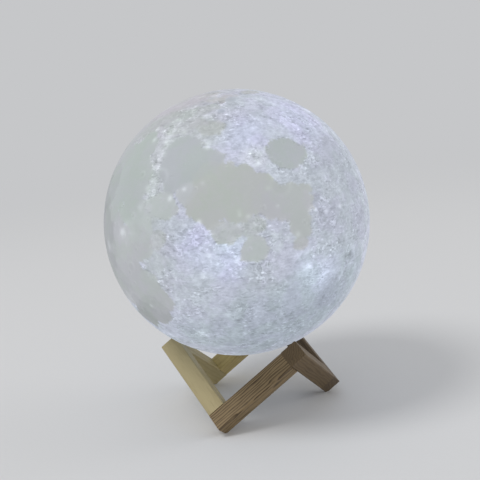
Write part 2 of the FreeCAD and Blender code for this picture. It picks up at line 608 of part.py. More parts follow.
def main():
    os.makedirs("parts", exist_ok=True)
    parts = stand_parts()
    parts["moon_shell"] = moon_shell()
    parts["socket_collar"] = socket_collar()
    parts["base_cover"] = base_cover()
    parts["cover_screws"] = cover_screws()
    parts["touch_ring"] = touch_ring()
    parts["touch_contact"] = touch_contact()
    parts["charging_jack"] = charging_jack()
    parts["charge_light_pipe"] = charge_light_pipe()
    parts["charge_indicator"] = charge_indicator()
    parts["main_board"] = main_board()
    parts["board_screws"] = board_screws()
    parts["charger_chip"] = chip(-1)
    parts["touch_chip"] = chip(1)
    parts["power_coil"] = power_coil()
    parts["capacitors"] = capacitors()
    parts["battery_plug"] = wire_plug(-1)
    parts["led_plug"] = wire_plug(1)
    parts["battery_cell"] = battery_cell()
    parts["battery_pad"] = battery_pad()
    parts["battery_leads"] = battery_leads()
    parts["led_leads"] = led_leads()
    parts["lamp_tower"] = lamp_tower()
    parts["led_board"] = led_board()
    parts["led_terminal"] = led_terminal()
    parts["led_emitters"] = led_emitters()
    parts["led_board_screws"] = led_board_screws()
    parts["diffuser_dome"] = diffuser_dome()
    for name, shape in parts.items():
        solids = shape.Solids
        assert solids and all(solid.isValid() and solid.Volume > 0 for solid in solids), name
        Part.makeCompound(solids).exportStep("parts/%s.step" % name)
        print("%-24s %2d solids %10.1f mm3" % (name, len(solids), sum(solid.Volume for solid in solids)))
    dome_top = parts["diffuser_dome"].BoundBox.ZMax
    print("globe centre %.3f, underside %.3f, dome top %.3f" % (GLOBE_Z, BASE_Z, dome_top))


main()
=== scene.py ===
import math
import random

import bmesh
import bpy
import numpy as np
from mathutils import Euler, Matrix, Vector, noise


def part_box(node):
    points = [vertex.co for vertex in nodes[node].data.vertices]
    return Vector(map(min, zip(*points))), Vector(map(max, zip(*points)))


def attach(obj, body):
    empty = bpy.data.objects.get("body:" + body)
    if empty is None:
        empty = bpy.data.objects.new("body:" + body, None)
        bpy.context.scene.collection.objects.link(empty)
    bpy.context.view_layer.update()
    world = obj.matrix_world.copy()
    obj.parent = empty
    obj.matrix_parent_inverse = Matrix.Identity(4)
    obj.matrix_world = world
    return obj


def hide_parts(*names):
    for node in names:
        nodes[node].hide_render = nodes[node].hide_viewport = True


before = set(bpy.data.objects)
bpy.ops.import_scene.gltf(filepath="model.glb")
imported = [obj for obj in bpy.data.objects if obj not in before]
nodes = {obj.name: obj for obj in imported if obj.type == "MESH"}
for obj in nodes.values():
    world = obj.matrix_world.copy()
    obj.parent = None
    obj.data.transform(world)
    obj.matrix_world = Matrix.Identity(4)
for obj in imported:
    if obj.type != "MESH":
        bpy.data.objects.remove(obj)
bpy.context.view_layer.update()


# ------------------------------------------------------------------ the stand's six bars
# Six equal square bars of solid wood, planed, with lightly eased long edges, oiled.  Each is sawn from
# another piece of the plank, so the grain differs: one is plain and pale, one brown and coarse.  Their
# tones are partly the wood's own and partly painted shade: the three bars on the right are given darker
# brown wood than the three on the left.  They are glued end to side on dowels, so end grain shows at
# every corner.
class Signal:
    """One value or colour on its way through a finish; sums on it add Math nodes."""

    def __init__(self, finish, socket):
        self.finish, self.socket = finish, socket

    def math(self, operation, *others, clamp=False):
        values = dict(enumerate([self, *others]))
        return self.finish.node("ShaderNodeMath", values, operation=operation, use_clamp=clamp)

    def __add__(self, other):
        return self.math("ADD", other)

    def __mul__(self, other):
        return self.math("MULTIPLY", other)

    def __sub__(self, other):
        return self.math("SUBTRACT", other)

    def __rsub__(self, other):
        return self.finish.node("ShaderNodeMath", {0: other, 1: self}, operation="SUBTRACT")

    __radd__, __rmul__ = __add__, __mul__


class Finish:
    """A finish mixed node by node; what is the same all over is set on the shader itself."""

    def __init__(self, name, plain):
        self.material = bpy.data.materials.new(name)
        self.material.use_nodes = True
        self.shader = self.material.node_tree.nodes["Principled BSDF"]
        for label, value in plain.items():
            self.shader.inputs[label].default_value = value

    def node(self, kind, values, output=0, **settings):
        """Any node: its type, what goes into its sockets, the output that is used, and its settings."""
        made = self.material.node_tree.nodes.new(kind)
        for setting, value in settings.items():
            setattr(made, setting, value)
        for label, value in values.items():
            self.join(value, made.inputs[label])
        return Signal(self, made.outputs[output])

    def join(self, value, socket):
        if isinstance(value, Signal):
            self.material.node_tree.links.new(value.socket, socket)
        else:
            socket.default_value = value

    def place(self):
        """The point on the piece, in metres."""
        return self.node("ShaderNodeTexCoord", {}, "Object")

    def moved(self, vector, scale=(1, 1, 1), turn=(0, 0, 0), shift=(0, 0, 0)):
        """The same point, scaled, turned and shifted; a small scale draws a pattern out along that axis."""
        return self.node("ShaderNodeMapping", {"Vector": vector, "Scale": scale, "Rotation": turn,
                                               "Location": shift})

    def cloud(self, vector, scale, detail=3.0, roughness=0.5):
        """Soft noise about 0.5."""
        return self.node("ShaderNodeTexNoise", {"Vector": vector, "Scale": scale, "Detail": detail,
                                                "Roughness": roughness})

    def cells(self, vector, scale, output="Distance", feature="F1"):
        """How far the nearest of many scattered spots is."""
        return self.node("ShaderNodeTexVoronoi", {"Vector": vector, "Scale": scale}, output, feature=feature)

    def lot(self, vector, scale, part):
        """A number from 0 to 1 drawn for each of these spots."""
        return self.node("ShaderNodeSeparateColor", {0: self.cells(vector, scale, "Color")}, part)

    def ease(self, value, low, high, first=0.0, last=1.0):
        """The value's way from low to high, smoothed, as first to last."""
        return self.node("ShaderNodeMapRange", {"Value": value, "From Min": low, "From Max": high,
                                                "To Min": first, "To Max": last},
                         interpolation_type="SMOOTHSTEP")

    def blend(self, mask, first, second, kind="MIX"):
        """The second colour over the first, as far as the mask says."""
        return self.node("ShaderNodeMix", {0: mask, 6: first, 7: second}, 2, data_type="RGBA", blend_type=kind)

    def grey(self, value):
        """A number as a neutral colour."""
        return self.node("ShaderNodeCombineColor", {0: value, 1: value, 2: value})

    def bump(self, height, depth):
        """Small relief; the depth is in metres."""
        return self.node("ShaderNodeBump", {"Height": height, "Strength": 1.0, "Distance": depth})

    def paint(self, signals):
        """What varies goes into the shader, and the material is done."""
        for label, signal in signals.items():
            self.join(signal, self.shader.inputs[label])
        return self.material


def rgb(red, green, blue):
    """A colour read as on screen, 0 to 255, as the linear value that a shader takes."""
    return tuple(((c / 255 + 0.055) / 1.055) ** 2.4 if c > 10 else c / 255 / 12.92
                 for c in (red, green, blue)) + (1.0,)


def dress(node, material):
    """Gives one of the CAD nodes its finish."""
    nodes[node].data.materials.clear()
    nodes[node].data.materials.append(material)


BAR_WIDTH = 0.0105
BAR_LENGTH = 0.0525
FOOT_FLAT = 0.001            # planed off the lowest corners
CUBE_EDGE = BAR_LENGTH + BAR_WIDTH
FLOOR_RISE = Vector((0, 0, BAR_LENGTH / math.sqrt(3) + FOOT_FLAT))
RING_SWAY, RING_DRIFT = 0.0065, 0.0013       # how far the growth rings wander, broadly and finely
LATE_START, LATE_FULL = 0.35, 0.93           # parts of a year in which the wood darkens
FIBRE_TONE, PORE_TONE, SWAY_TONE = 0.42, 0.16, 0.5


def cube_axis(k):
    """Edge k of the cube that the bars follow: it leans out over foot k."""
    angle = math.radians(270 + 120 * k)
    flat = math.sqrt(2 / 3)
    return Vector((flat * math.cos(angle), flat * math.sin(angle), 1 / math.sqrt(3)))


def sawn_wood(name, start, along, beside, pale, dark, grain, spacing, heart):
    """Wood with its growth rings round a heart beside the bar, in the bar's own axes."""
    turn = Matrix((along, beside, along.cross(beside)))
    wood = Finish(name, {"Specular IOR Level": 0.35, "Coat Roughness": 0.45, "Coat Weight": 0.06})
    bar = wood.moved(wood.place(), turn=turn.to_euler(), shift=-(turn @ start))
    slow = wood.moved(bar, scale=(0.16, 1, 1))       # patterns on it change slowly along the bar
    sway = wood.cloud(slow, 95, 3.0, 0.55) - 0.5
    drift = wood.cloud(slow, 420, 2.0, 0.5) - 0.5
    across = wood.moved(bar, scale=(0.02, 1, 1), shift=(0, -heart[0], -heart[1]))
    radius = wood.node("ShaderNodeVectorMath", {0: across}, "Value", operation="LENGTH")
    years = (radius + sway * RING_SWAY + drift * RING_DRIFT) * (1 / spacing)
    year = years.math("FRACT")
    late = wood.ease(year, LATE_START, LATE_FULL) * wood.ease(year, LATE_FULL, 1.0, 1.0, 0.0)
    strength = wood.cloud(slow, 60, 1.0) * 1.1 + 0.2
    fibre = wood.cloud(wood.moved(bar, scale=(0.05, 1, 1)), 2600, 2.0, 0.6)
    flecks = wood.cells(wood.moved(bar, scale=(0.045, 1, 1)), 1500)
    pores = wood.ease(flecks, 0.10, 0.26, 1.0, 0.0)
    tone = (late * strength * grain + (fibre - 0.5) * FIBRE_TONE + pores * (PORE_TONE + grain * 0.2)
            + sway * SWAY_TONE)
    colour = wood.blend(tone.math("ADD", 0.12, clamp=True), pale, dark)
    height = (1 - late * 0.5) + fibre * 0.6 - pores * 1.2
    return wood.paint({
        "Base Color": colour,
        "Roughness": tone * 0.1 + 0.55,
        "Normal": wood.bump(height, 0.00006),
    })


# Each bar: node, pale and dark wood, how strong its grain is, metres between rings, where their heart lies.
# The darker wood of the three right-hand bars, in both lists, is partly painted shade.
BARS_FROM_FEET = [
    ("stand_bar_front_right", rgb(142, 121, 87), rgb(68, 52, 34), 1.0, 0.00135, (-0.030, 0.021)),
    ("stand_bar_back_right", rgb(101, 84, 60), rgb(63, 49, 34), 0.6, 0.0017, (0.026, -0.034)),
    ("stand_bar_left", rgb(180, 166, 121), rgb(141, 124, 84), 0.32, 0.0024, (-0.038, -0.020)),
]
BARS_FROM_TOPS = [
    ("stand_bar_front_left", rgb(180, 167, 127), rgb(142, 127, 91), 0.26, 0.0028, (0.044, 0.016)),
    ("stand_bar_right", rgb(112, 93, 65), rgb(71, 56, 37), 0.6, 0.00125, (0.085, 0.060)),
    ("stand_bar_back_left", rgb(195, 177, 120), rgb(150, 127, 75), 0.36, 0.0022, (-0.018, 0.036)),
]
for k in range(3):
    e1, e2, e3 = cube_axis(k), cube_axis(k + 1), cube_axis(k + 2)
    name, *look = BARS_FROM_FEET[k]
    dress(name, sawn_wood(name + "_wood", e1 * BAR_LENGTH - FLOOR_RISE, e2, e3, *look))
    name, *look = BARS_FROM_TOPS[k]
    dress(name, sawn_wood(name + "_wood", (e1 + e3) * CUBE_EDGE - FLOOR_RISE, -e3, -e1, *look))


# ------------------------------------------------------------------ dowels
# Short beech pins glued across each corner joint.  They are hidden once the stand is together.
# Turned from straight-grained stock, left raw.
dowel = Finish("dowel_wood", {"Specular IOR Level": 0.3})
stripe = dowel.cloud(dowel.moved(dowel.place(), scale=(1, 1, 0.15)), 900, 3.0, 0.6)
dress("stand_dowels", dowel.paint({
    "Base Color": dowel.blend(stripe, rgb(206, 178, 136), rgb(176, 142, 100)),
    "Roughness": stripe * 0.15 + 0.6,
    "Normal": dowel.bump(stripe, 0.00004),
}))


# ------------------------------------------------------------------ moon globe
# One hollow globe, printed in white plastic, with the Moon's seas, mountains and craters as relief on
# its outside.  Less light comes through its wall in the seas than on the land.  Underneath it is cut
# flat, and has a thickened neck round the opening for the light module.
GLOBE_RADIUS = 0.075
GLOBE_CENTRE = Vector((0, 0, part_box("moon_shell")[1].z - GLOBE_RADIUS))
GLOBE_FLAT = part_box("moon_shell")[0].z - GLOBE_CENTRE.z
WALL = 0.0016
FLAT_RADIUS = 0.0215
OPENING_RADIUS = 0.020
NECK_RADIUS = 0.0235
NECK_HEIGHT = 0.005
EASED = 0.0002               # broken edge of the opening
BALL_SPLITS, BALL_CUTS = 4, 11
ON_BALL = 0.00005            # what lies this near the radius is the outside
INSIDE_ROWS = 16
INSIDE_CAP = 0.02            # radians from the inside's pole to its last ring, which one face closes
MOON_TURN = Euler([math.radians(a) for a in (19.15, -5.28, -95.66)]).to_matrix()
RELIEF = 0.00055             # from the deepest floor to the highest rim
RELIEF_TOP = 0.00012         # how far rims stand out of the round
RELIEF_START, RELIEF_FULL = 0.0003, 0.003    # above the flat the relief comes in between these heights
SHARP_EDGE = math.radians(50)

# Tones of the glowing wall, red, green and blue against its plain light.  The seas:
KHAKI, SLATE, MINT = (0.83, 0.89, 0.865), (0.775, 0.845, 0.875), (0.80, 0.885, 0.875)
DUSK, HAZE, UMBER = (0.83, 0.875, 0.90), (0.87, 0.94, 0.96), (0.80, 0.845, 0.87)
# These two, used on the western seas, are partly the seas' own dark tone and partly painted shade that darkens
# the globe towards the western edge of the near side.
SHADE, SEA_AND_EDGE_SHADE = (0.66, 0.705, 0.72), (0.57, 0.61, 0.62)
# The land:
STONE, PEARL, MIST = (0.94, 1.01, 1.16), (0.885, 0.95, 1.045), (0.91, 0.985, 1.13)
LAVENDER, FROST, WHITE = (1.04, 1.10, 1.43), (1.09, 1.26, 1.52), (1.13, 1.21, 1.44)
# The first of these, used mostly along the eastern edge of the near side, is partly the land's own tone and
# partly painted shade that darkens the globe towards that edge.
ASH, DUST, CHALK = (0.79, 0.86, 0.99), (0.87, 0.875, 0.93), (1.08, 1.17, 1.25)
# These three, used on the southern land, are partly its own bluish tone and partly painted shade that darkens
# the globe towards its south.
TEAL, LAND_AND_SOUTH_SHADE, DIM_LAND_AND_SOUTH_SHADE = (0.76, 0.865, 0.98), (0.65, 0.745, 0.86), (0.57, 0.655, 0.76)

# Seas: latitude, longitude, half height and half width in degrees, how plain the floor is, tone.
SEAS = [
    (28.3, 18.2, 10.4, 12.4, 1.0, SLATE), (17.5, 26, 5, 6, 0.95, KHAKI), (9, 25, 9.5, 9.5, 1.0, KHAKI),
    (13, 34, 6.5, 7, 1.0, KHAKI), (14.5, 40.5, 4, 4, 0.95, KHAKI), (3, 35, 7.5, 9, 1.0, KHAKI),
    (8, 43, 4.5, 6, 0.95, KHAKI), (1, 45, 7, 7, 0.97, DUSK), (-2.5, 54, 6.5, 9.4, 1.0, DUSK),
    (-11.5, 55, 6.5, 5, 0.9, DUSK), (1, 61, 2.6, 3.6, 0.8, DUSK), (-18, 53, 3, 3.5, 0.5, DUSK),
    (-5, 26, 4.5, 6, 0.55, HAZE), (-5, 36, 4.5, 6, 0.4, HAZE), (-14.6, 34.6, 4.6, 5.2, 0.74, HAZE),
    (17.2, 59.8, 6.2, 8.2, 1.0, SLATE), (13.5, 5, 6, 6.5, 0.85, HAZE), (15, 15.5, 4.5, 5, 0.8, HAZE),
    (20.5, 12, 4.5, 6.5, 0.85, SLATE), (27, 9, 6, 4, 0.85, SLATE), (31, -3, 8, 5.5, 0.85, MINT),
    (16, -4, 3, 5, 0.6, HAZE), (1.5, -2, 4.5, 5, 0.45, HAZE), (10, -9, 7, 8, 0.88, HAZE),
    (4, -17, 9, 11, 0.9, DUSK), (33, -17, 17, 18.6, 1.0, MINT), (41, -7, 9, 9, 0.96, MINT),
    (44, -31, 8, 12, 0.95, UMBER), (33, -36, 12, 12, 0.97, SHADE), (17, -40, 10, 11, 0.97, SEA_AND_EDGE_SHADE),
    (18, -12, 7, 9, 0.9, MINT), (14, -31, 12, 13, 0.95, UMBER), (18, -57, 17, 17, 0.92, SHADE),
    (0, -45, 16, 17, 0.92, SHADE), (33, -58, 15, 17, 0.9, SHADE), (48, -56, 10, 15, 0.85, SHADE),
    (-9, -22.5, 10, 10, 0.9, UMBER), (-18.5, -17, 8.5, 8, 0.85, UMBER), (-11.5, -15.5, 6, 6, 0.62, HAZE),
    (-23.5, -23.5, 6.5, 8.5, 0.85, SHADE), (-24.4, -38.6, 7, 8, 0.9, SEA_AND_EDGE_SHADE),
    (-12, -38, 11, 10, 0.85, UMBER), (-2, -30, 7, 6.5, 0.92, UMBER), (-18, -34.5, 4.5, 5, 0.8, SHADE),
    (-6, -8, 6, 7, 0.45, PEARL), (-22, -4, 8, 6, 0.25, MIST), (58, -30, 6, 18, 0.72, DUSK),
    (57, 0, 5, 16, 0.6, DUSK), (53, 24, 5, 12, 0.42, HAZE), (70, 0, 11, 26, 0.6, DUST),
    (67, 32, 9, 12, 0.5, DUST), (46, 22, 5, 9, 0.4, HAZE), (38.5, 34.5, 5, 6, 0.45, DUSK),
    (44, 29, 3, 4, 0.45, DUSK), (24, 31.5, 3.2, 2.6, 0.55, HAZE), (8, 77, 4, 6, 0.3, ASH),
    (13, 87, 6, 6, 0.45, ASH), (-1, 87, 7, 7, 0.45, ASH), (7, 68.5, 2.4, 4, 0.4, ASH),
    (57, 81, 3.4, 5, 0.6, DUSK), (-39, 90, 7, 9, 0.3, TEAL), (-5.5, -68.3, 3.4, 2.8, 0.9, SHADE),
    (53.7, 57, 2, 2.4, 0.7, ASH), (51.6, -9.4, 1.9, 2.6, 0.85, DUSK), (46.7, 44.4, 1.4, 1.6, 0.5, ASH),
    (-19.4, -93, 5, 5, 0.75, DUSK), (27.3, 148, 4.2, 4.6, 0.9, DUSK), (-34, 163, 4.4, 5, 0.8, DUSK),
    (-20.4, 129, 2.6, 2.8, 0.95, SLATE), (-36, -152, 5, 5.5, 0.5, HAZE), (-52, -168, 17, 22, 0.32, HAZE),
]
# Broad tones of the land: latitude, longitude, reach in degrees, tone.
LANDS = [
    (33, 80, 12, LAVENDER), (31, 50, 8.5, LAVENDER), (19.5, 47.5, 4, CHALK), (8, 58, 5, STONE),
    (-4, 32, 5, STONE), (-24, 33, 6, STONE), (26, 60, 5, STONE), (-12, 23, 6, FROST), (-10, 17, 4.5, WHITE),
    (-9, 14, 6, LAVENDER), (-3, 12, 5, LAVENDER), (4, 8, 6, STONE), (-12, 2, 7, MIST), (-7, -5, 5, PEARL),
    (-17, -5, 6, PEARL), (3, -2, 4.5, PEARL), (-18, 22, 5, LAVENDER), (-33, 58, 8.5, FROST),
    (-25, 62, 6, STONE), (-24, 40, 8, STONE), (-28, 8, 9, MIST), (-11, 45, 4.5, STONE),
    (-4, 73, 4.5, STONE), (-8, 70, 10, ASH), (8, 87, 10, ASH), (-15, 84, 10, ASH), (-38, 80, 9, TEAL),
    (-49, 69, 12, LAND_AND_SOUTH_SHADE), (-47, 71, 6, DIM_LAND_AND_SOUTH_SHADE), (-56, 48, 11, LAND_AND_SOUTH_SHADE), (-58, 15, 14, LAND_AND_SOUTH_SHADE), (-42, 18, 11, TEAL),
    (-43, 42, 9, TEAL), (-44, -14, 9, TEAL), (-36, 46, 6, TEAL), (-45, 42, 6, LAND_AND_SOUTH_SHADE), (-16, 69, 7, ASH),
    (66, 15, 18, DUST), (62, -35, 16, DUST), (50, 52, 11, STONE), (45, 68, 9, MIST), (0, 86, 7, ASH),
    (44, 29, 9, HAZE), (23, 1, 5, HAZE), (31, 4, 5, HAZE), (39, 7, 4, HAZE), (12, -3, 5, HAZE),
    (-34, -60, 16, TEAL), (30, 125, 22, STONE), (-10, 150, 20, MIST), (20, -150, 20, LAVENDER),
    (-35, -120, 18, TEAL), (5, -105, 16, MIST),
]
# Single marks: latitude, longitude, radius in degrees, brightness against what lies round them.
MARKS = [
    (10.0, -20.5, 1.5, 0.20), (10.0, -20.5, 6.0, 0.05), (14.8, 8.7, 1.0, 0.22), (16.5, 15.5, 0.9, 0.2),
    (16.1, 23.4, 0.9, 0.08), (2.4, 17.4, 0.9, 0.30), (21.4, 0.6, 2.0, 0.12), (28.7, 4.7, 1.6, 0.10),
    (16.7, -6.5, 1.5, 0.08), (25, 3, 1.8, 0.08), (18.8, -2.6, 1.8, 0.08), (34.6, 7.6, 1.8, 0.10),
    (40.5, 10.2, 2.0, 0.12), (2.0, 64.4, 1.0, 0.14), (-8.9, 61.4, 2.1, 0.22), (-9.7, 67.5, 1.0, 0.20),
    (-9.5, 76.0, 0.9, 0.24), (-14.5, 52.2, 1.0, 0.12), (-16.5, 26.1, 1.4, 0.14), (-17.3, 10.5, 1.1, 0.2),
    (-10.8, 16.3, 1.1, 0.2), (-21.7, -24.5, 0.9, 0.14), (16.2, 46.9, 1.2, 0.2), (-0.4, 32.7, 0.8, 0.08),
    (-1.9, 47.6, 0.6, 0.1), (5.6, 46.5, 0.9, 0.06), (23.7, -47.4, 1.8, 0.2), (8.1, -38, 2.0, 0.13),
    (-43.3, -11.4, 2.6, 0.14), (73.4, -10.1, 2.6, 0.12), (61.8, 50.3, 1.8, 0.05), (-24.5, -63.7, 2.2, 0.2),
    (46.8, 34.9, 1.2, 0.14), (45, 15, 1.0, 0.14), (48.5, 19, 0.9, 0.14), (42, 21, 1.0, 0.12),
    (29.6, 29.6, 1.0, 0.12), (26, 35.5, 1.6, 0.10), (-29.8, 82.0, 0.9, -0.2), (-2, -6, 1.6, 0.08),
    (3, 11, 1.2, 0.1), (-4, 20, 1.2, 0.12), (45, 2, 1.2, 0.18), (47.5, 8, 1.4, 0.14), (43, 12.5, 1.2, 0.15),
    (52, 16, 1.2, 0.15), (23, -1.5, 1.3, 0.09), (30.5, 3, 1.4, 0.08), (32, 30.5, 1.2, 0.16),
    (36.5, 28.5, 1.2, 0.14), (51, 3, 1.2, 0.12), (-11.5, 42.5, 1.0, 0.12), (-15, 47.5, 1.0, 0.12),
    (-9.5, 47, 0.9, 0.1), (1, 33, 0.9, 0.05), (-2, 35.5, 0.9, 0.12), (-6, 37, 1.0, 0.12),
    (-4, 31, 0.9, 0.12), (15.5, 9, 0.9, 0.1), (-12, 23, 4.5, 0.04), (-33, 58, 5, 0.03),
    (-9, 27.5, 1.2, 0.1), (-12, 43, 1.8, 0.08), (-16, 44, 1.6, 0.08), (36, 100, 3.0, 0.14),
    (-9.8, 129, 2.4, 0.12), (-41, -92, 2.6, 0.14), (44.6, -145, 2.6, 0.2), (-21, -168, 2.4, 0.16),
    (18, 116, 2.2, 0.18), (-62, 118, 3.0, 0.14),
]
# Craters that are large enough to be known: latitude, longitude, radius in degrees, depth.
CRATERS = [
    (9.6, -20.1, 1.5, 1.0), (-43.3, -11.4, 1.45, 1.0), (-11.4, 26.4, 1.7, 0.95), (-13.3, 24.0, 1.6, 0.8),
    (-17.7, 23.5, 1.65, 0.7), (-8.9, 61.1, 2.1, 0.9), (-25.3, 60.4, 2.9, 0.8), (-16.4, 61.6, 2.4, 0.5),
    (-9.3, -1.9, 2.5, 0.5), (-13.4, -2.8, 1.9, 0.6), (-18.2, -1.9, 1.6, 0.7), (51.6, -9.4, 1.7, 0.7),
    (50.2, 17.4, 1.5, 0.8), (44.3, 16.3, 1.2, 0.8), (46.7, 44.4, 1.45, 0.7), (46.7, 39.1, 1.2, 0.6),
    (53.9, 57.0, 2.1, 0.6), (27.7, 55.5, 2.1, 0.7), (34.5, 56.7, 1.5, 0.8), (31.8, 29.9, 1.6, 0.4),
    (14.5, -11.3, 1.0, 0.9), (29.7, -4.0, 1.35, 0.7), (-58.4, -14.4, 3.8, 0.8), (-50.0, -6.0, 2.7, 0.6),
    (-41.4, 14.0, 1.9, 0.7), (-33.0, 0.7, 1.7, 0.7), (-25.5, -1.9, 1.9, 0.6), (-29.7, 32.2, 1.4, 0.8),
    (-21.5, 33.2, 1.8, 0.5), (-29.9, 48.0, 1.0, 0.6), (-42.7, 60.2, 1.5, 0.7), (-36.0, 60.6, 2.0, 0.6),
    (-32.9, 54.2, 1.25, 0.9), (-41.8, 25.0, 1.4, 0.7), (-49.8, 31.0, 2.2, 0.5), (-17.5, -39.9, 1.85, 0.5),
    (-51.9, -39.0, 2.9, 0.6), (-44.3, -55.3, 3.7, 0.4), (73.4, -10.1, 1.0, 0.9), (61.9, -2.0, 2.0, 0.4),
    (24.5, 61, 1.2, 0.6), (23.8, 66.5, 1.1, 0.7), (13, 70, 1.2, 0.6), (17, 76, 1.4, 0.6),
    (20.5, 80, 1.5, 0.5), (9.2, 76, 1.3, 0.6), (27, 77, 1.6, 0.5), (-29.8, 82.0, 1.3, 0.9),
    (-2.0, 68, 1.2, 0.5), (-10, 71, 1.6, 0.5), (-17.5, 79, 1.9, 0.5), (-55, 70, 1.8, 0.6),
    (-59, 50, 1.6, 0.7), (-62, 20, 1.9, 0.6), (-66, 2, 2.2, 0.6), (-52, 5, 1.9, 0.6), (-27, 21, 1.2, 0.6),
    (-22, 10, 1.3, 0.5), (-20.4, 129.1, 3.0, 2.2), (27.3, 148, 4.6, 1.7), (5.7, 141, 5.4, 1.4),
    (-4, -157.4, 7.2, 1.5), (2.6, -128.6, 9.4, 1.5), (-36.1, -151.8, 8.8, 1.6), (-33.7, 163.5, 5.0, 1.7),
    (57.9, -143, 3.4, 1.7), (36, 152, 3.6, 1.6), (-70.5, 178, 5, 1.4), (-19.4, -92.8, 5.6, 1.5),
    (-19.4, -92.8, 10.0, 1.0), (-19.4, -92.8, 15.0, 0.8), (26, -122, 3.5, 1.7), (15, 175, 3.0, 1.7),
    (-57, 134, 5.0, 1.6), (-25, 151, 4.0, 1.6), (-65, -95, 4.0, 1.5), (66, 125, 3.8, 1.5),
    (43, -100, 4.2, 1.6),
]
# Sprays of fresh dust: latitude, longitude, reach in degrees, strength, number of streaks.
SPRAYS = [
    (-43.3, -11.4, 62, 0.04, 15), (9.7, -20.3, 12, 0.05, 14), (8.1, -38, 12, 0.08, 12),
    (23.7, -47.4, 10, 0.08, 9), (16.2, 46.9, 12, 0.06, 7), (-33.5, 59, 20, 0.07, 11),
    (73.4, -10, 22, 0.06, 9), (61.8, 50.3, 20, 0.06, 8), (-8.9, 61.1, 12, 0.05, 9),
    (44.6, -145, 28, 0.10, 12), (18, 116, 26, 0.08, 10), (36, 100, 30, 0.08, 10), (-21, -168, 20, 0.08, 9),
    (-24.5, -63.7, 16, 0.08, 9), (-62, 118, 20, 0.07, 9),
]
SEED = 41
SMALL_CRATERS = 2600
SMALLEST, LARGEST, RARER = 0.62, 4.5, -0.42  # in degrees, and how fast they get rarer with size
SHALLOW, STEEP = 0.12, 0.42
BRIGHT_SIDE = (0.8, 0.6)     # east and north: where a crater's rim is brightest
CHALKY = 1.1                 # how much a bright mark whitens the tone round it
# Noise over the ball: scale, shift, fall from octave to octave, step between them, how many.
ROUGH_NOISE = (15.0, (0, 0, 0), 0.6, 2.1, 5)
SHORE_NOISE = (4.2, (9, 3, 5), 0.6, 2.2, 7)
BROAD_NOISE = (2.6, (2, 7, 1), 0.9, 2.0, 3)
VEIN_NOISE = (11.0, (4, 1, 8), 0.8, 2.2, 4)
SHORE_WANDER = 0.40          # how far a shore strays, against the sea's half width
SHORE_IN, SHORE_OUT = 0.80, 1.14
LAND_PULL = 5                # weight of a broad tone at its middle, against plain stone


def moon_axes(latitude, longitude):
    """Outwards, east and north at a place on the Moon."""
    up, around = math.radians(latitude), math.radians(longitude)
    out = np.array([math.cos(up) * math.cos(around), math.cos(up) * math.sin(around), math.sin(up)])
    east = np.array([-math.sin(around), math.cos(around), 0.0])
    return out, east, np.cross(out, east)


def smooth(value, low, high):
    """The value's way from low to high, smoothed, as 0 to 1."""
    t = np.clip((value - low) / (high - low), 0.0, 1.0)
    return t * t * (3 - 2 * t)


def from_place(points, place):
    """Degrees east and north of a place, and how far in all."""
    out, east, north = moon_axes(*place)
    x, y = points @ east, points @ north
    far = np.degrees(np.arccos(np.clip(points @ out, -1.0, 1.0)))
    scale = far / np.maximum(np.hypot(x, y), 1e-9)
    return x * scale, y * scale, far


def noise_over(points, scale, shift, *octaves):
    """Layered noise, about 0, at each point."""
    return np.array([noise.fractal(Vector(p) * scale + Vector(shift), *octaves) for p in points])


def broad_tones(points, shore):
    """How far each point lies in the plain floor of a sea, 0 to 1, and its broad tone."""
    cover, weight = np.zeros(len(points)), np.full(len(points), 1e-6)
    sea_tone, land_tone = np.zeros((len(points), 3)), np.tile(STONE, (len(points), 1))
    for latitude, longitude, tall, wide, plain, tone in SEAS:
        x, y, far = from_place(points, (latitude, longitude))
        reach = np.hypot(x / wide, y / tall) + shore * SHORE_WANDER
        part = np.where(far < 2.2 * max(tall, wide), plain * (1 - smooth(reach, SHORE_IN, SHORE_OUT)), 0.0)
        cover = np.maximum(cover, part)
        sea_tone += (part ** 3)[:, None] * tone
        weight += part ** 3
    sea_tone /= weight[:, None]
    weight = np.ones(len(points))
    for latitude, longitude, reach, tone in LANDS:
        near = LAND_PULL * np.exp(-(from_place(points, (latitude, longitude))[2] / reach) ** 2)
        land_tone += near[:, None] * tone
        weight += near
    land_tone /= weight[:, None]
    mix = smooth(cover, 0.05, 0.5)[:, None]
    return cover, land_tone * (1 - mix) + sea_tone * mix


def dig(points, height, glow, latitude, longitude, radius, depth):
    """One crater: a flat-floored bowl, darker inside, and a raised rim, brighter towards one side."""
    out, east, north = moon_axes(latitude, longitude)
    near = np.nonzero(points @ out > math.cos(math.radians(radius * 2.2)))[0]
    if len(near):
        # d is the distance from the crater's middle, in its radii
        d = np.degrees(np.arccos(np.clip(points[near] @ out, -1.0, 1.0))) / radius
        side = points[near] @ (east * BRIGHT_SIDE[0] + north * BRIGHT_SIDE[1]) / math.radians(radius)
        bowl = -(1 - smooth(d, 0.45, 1.0))
        rim = np.exp(-((d - 1.05) / 0.2) ** 2)
        height[near] += depth * (bowl * 0.75 + rim * 0.32)
        glow[near] += depth * (rim * 0.15 - np.exp(-(d / 0.7) ** 2) * 0.11
                               + side * np.exp(-((d - 0.85) / 0.4) ** 2) * 0.11)


